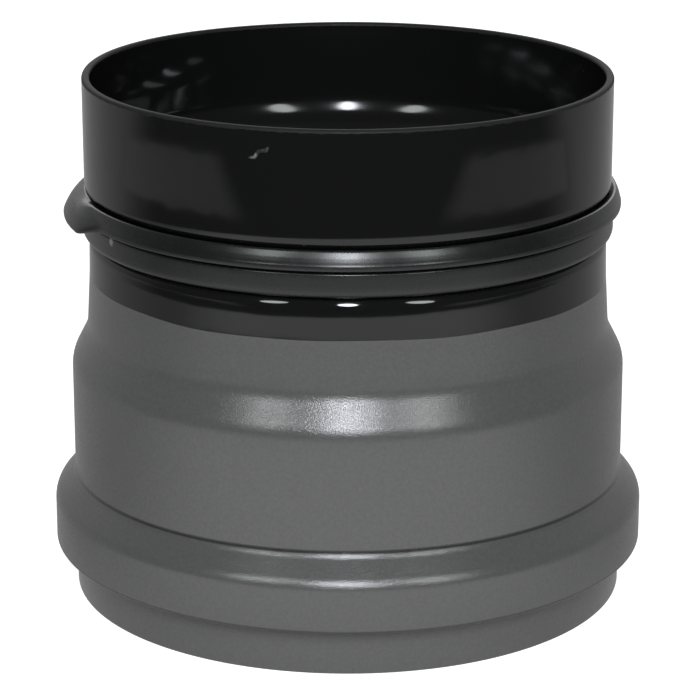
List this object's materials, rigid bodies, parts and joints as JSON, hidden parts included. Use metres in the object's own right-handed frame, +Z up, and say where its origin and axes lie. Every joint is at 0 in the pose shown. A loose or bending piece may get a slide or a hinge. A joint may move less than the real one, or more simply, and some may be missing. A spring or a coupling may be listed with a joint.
{
  "type": "stove pipe connector",
  "caption": "Flue pipe connector: black enamelled spigot, rubber lip gasket in a rolled groove, stepped shoulder and grey painted socket with a raised gasket seat near its mouth.",
  "frame": {"origin": "centre of the socket's mouth, at the height of its lower edge", "axes": "+Z up along the flue from the socket to the spigot, -Y towards the camera of the picture, -X the side where the gasket's lip has sprung out"},
  "size_m": [0.0912, 0.0912, 0.08],
  "materials": {
    "pipe_finish": "satin grey paint outside, gloss black enamel above the paint line and inside",
    "gasket_rubber": "satin black silicone rubber"
  },
  "bodies": {
    "root": {"pipe_body": "pipe_finish", "sealing_gasket": "gasket_rubber"}
  },
  "joints": []
}
